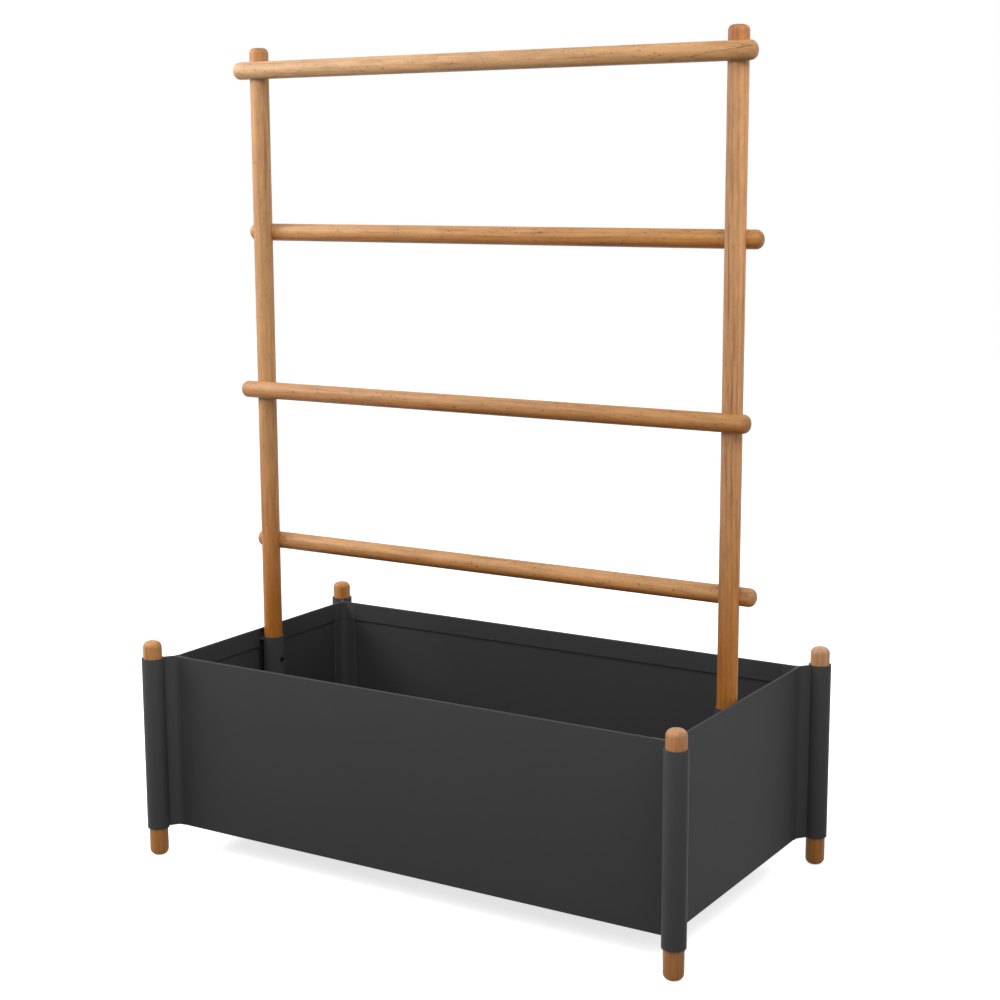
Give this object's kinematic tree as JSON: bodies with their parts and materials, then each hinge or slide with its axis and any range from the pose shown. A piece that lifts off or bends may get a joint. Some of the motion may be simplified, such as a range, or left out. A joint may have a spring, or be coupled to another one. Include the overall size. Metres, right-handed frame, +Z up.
{
  "type": "planter with trellis",
  "caption": "Rectangular floor planter of folded aluminium sheet with round teak corner posts and a teak ladder trellis that lifts out of sockets inside the end walls.",
  "frame": {"origin": "on the floor, at the middle of the footprint", "axes": "+X along the long front wall to the right, +Y from the front wall to the back wall, +Z up"},
  "size_m": [1.038, 0.5854, 1.3879],
  "materials": {
    "powder_coated_aluminium": "matt dark grey powder coat",
    "oiled_teak": "oiled",
    "stainless_steel": "plain",
    "black_steel": "black oxide",
    "mill_aluminium": "mill",
    "black_rubber": "matt"
  },
  "bodies": {
    "root": {"front_left_profile": "powder_coated_aluminium", "front_left_post": "oiled_teak", "front_right_profile": "powder_coated_aluminium", "front_right_post": "oiled_teak", "back_left_profile": "powder_coated_aluminium", "back_left_post": "oiled_teak", "back_right_profile": "powder_coated_aluminium", "back_right_post": "oiled_teak", "front_wall": "powder_coated_aluminium", "back_wall": "powder_coated_aluminium", "left_wall": "powder_coated_aluminium", "right_wall": "powder_coated_aluminium", "floor_panel": "powder_coated_aluminium", "floor_bearer_left": "powder_coated_aluminium", "floor_bearer_centre": "powder_coated_aluminium", "floor_bearer_right": "powder_coated_aluminium", "left_trellis_socket": "powder_coated_aluminium", "right_trellis_socket": "powder_coated_aluminium", "bearer_bolts": "stainless_steel", "bearer_nuts": "stainless_steel", "socket_foot_bolts": "stainless_steel", "socket_foot_nuts": "stainless_steel", "floor_rivets": "mill_aluminium", "left_socket_pad": "black_rubber", "right_socket_pad": "black_rubber", "clamp_inserts": "black_steel", "clamp_screws": "black_steel"},
    "trellis": {"left_trellis_post": "oiled_teak", "right_trellis_post": "oiled_teak", "bottom_rail": "oiled_teak", "lower_rail": "oiled_teak", "upper_rail": "oiled_teak", "top_rail": "oiled_teak", "rail_screws": "stainless_steel"}
  },
  "joints": [
    {"name": "trellis_lift", "type": "slide", "parent": "root", "child": "trellis", "axis": [0, 0, 1], "range_m": [0, 0.27]}
  ]
}
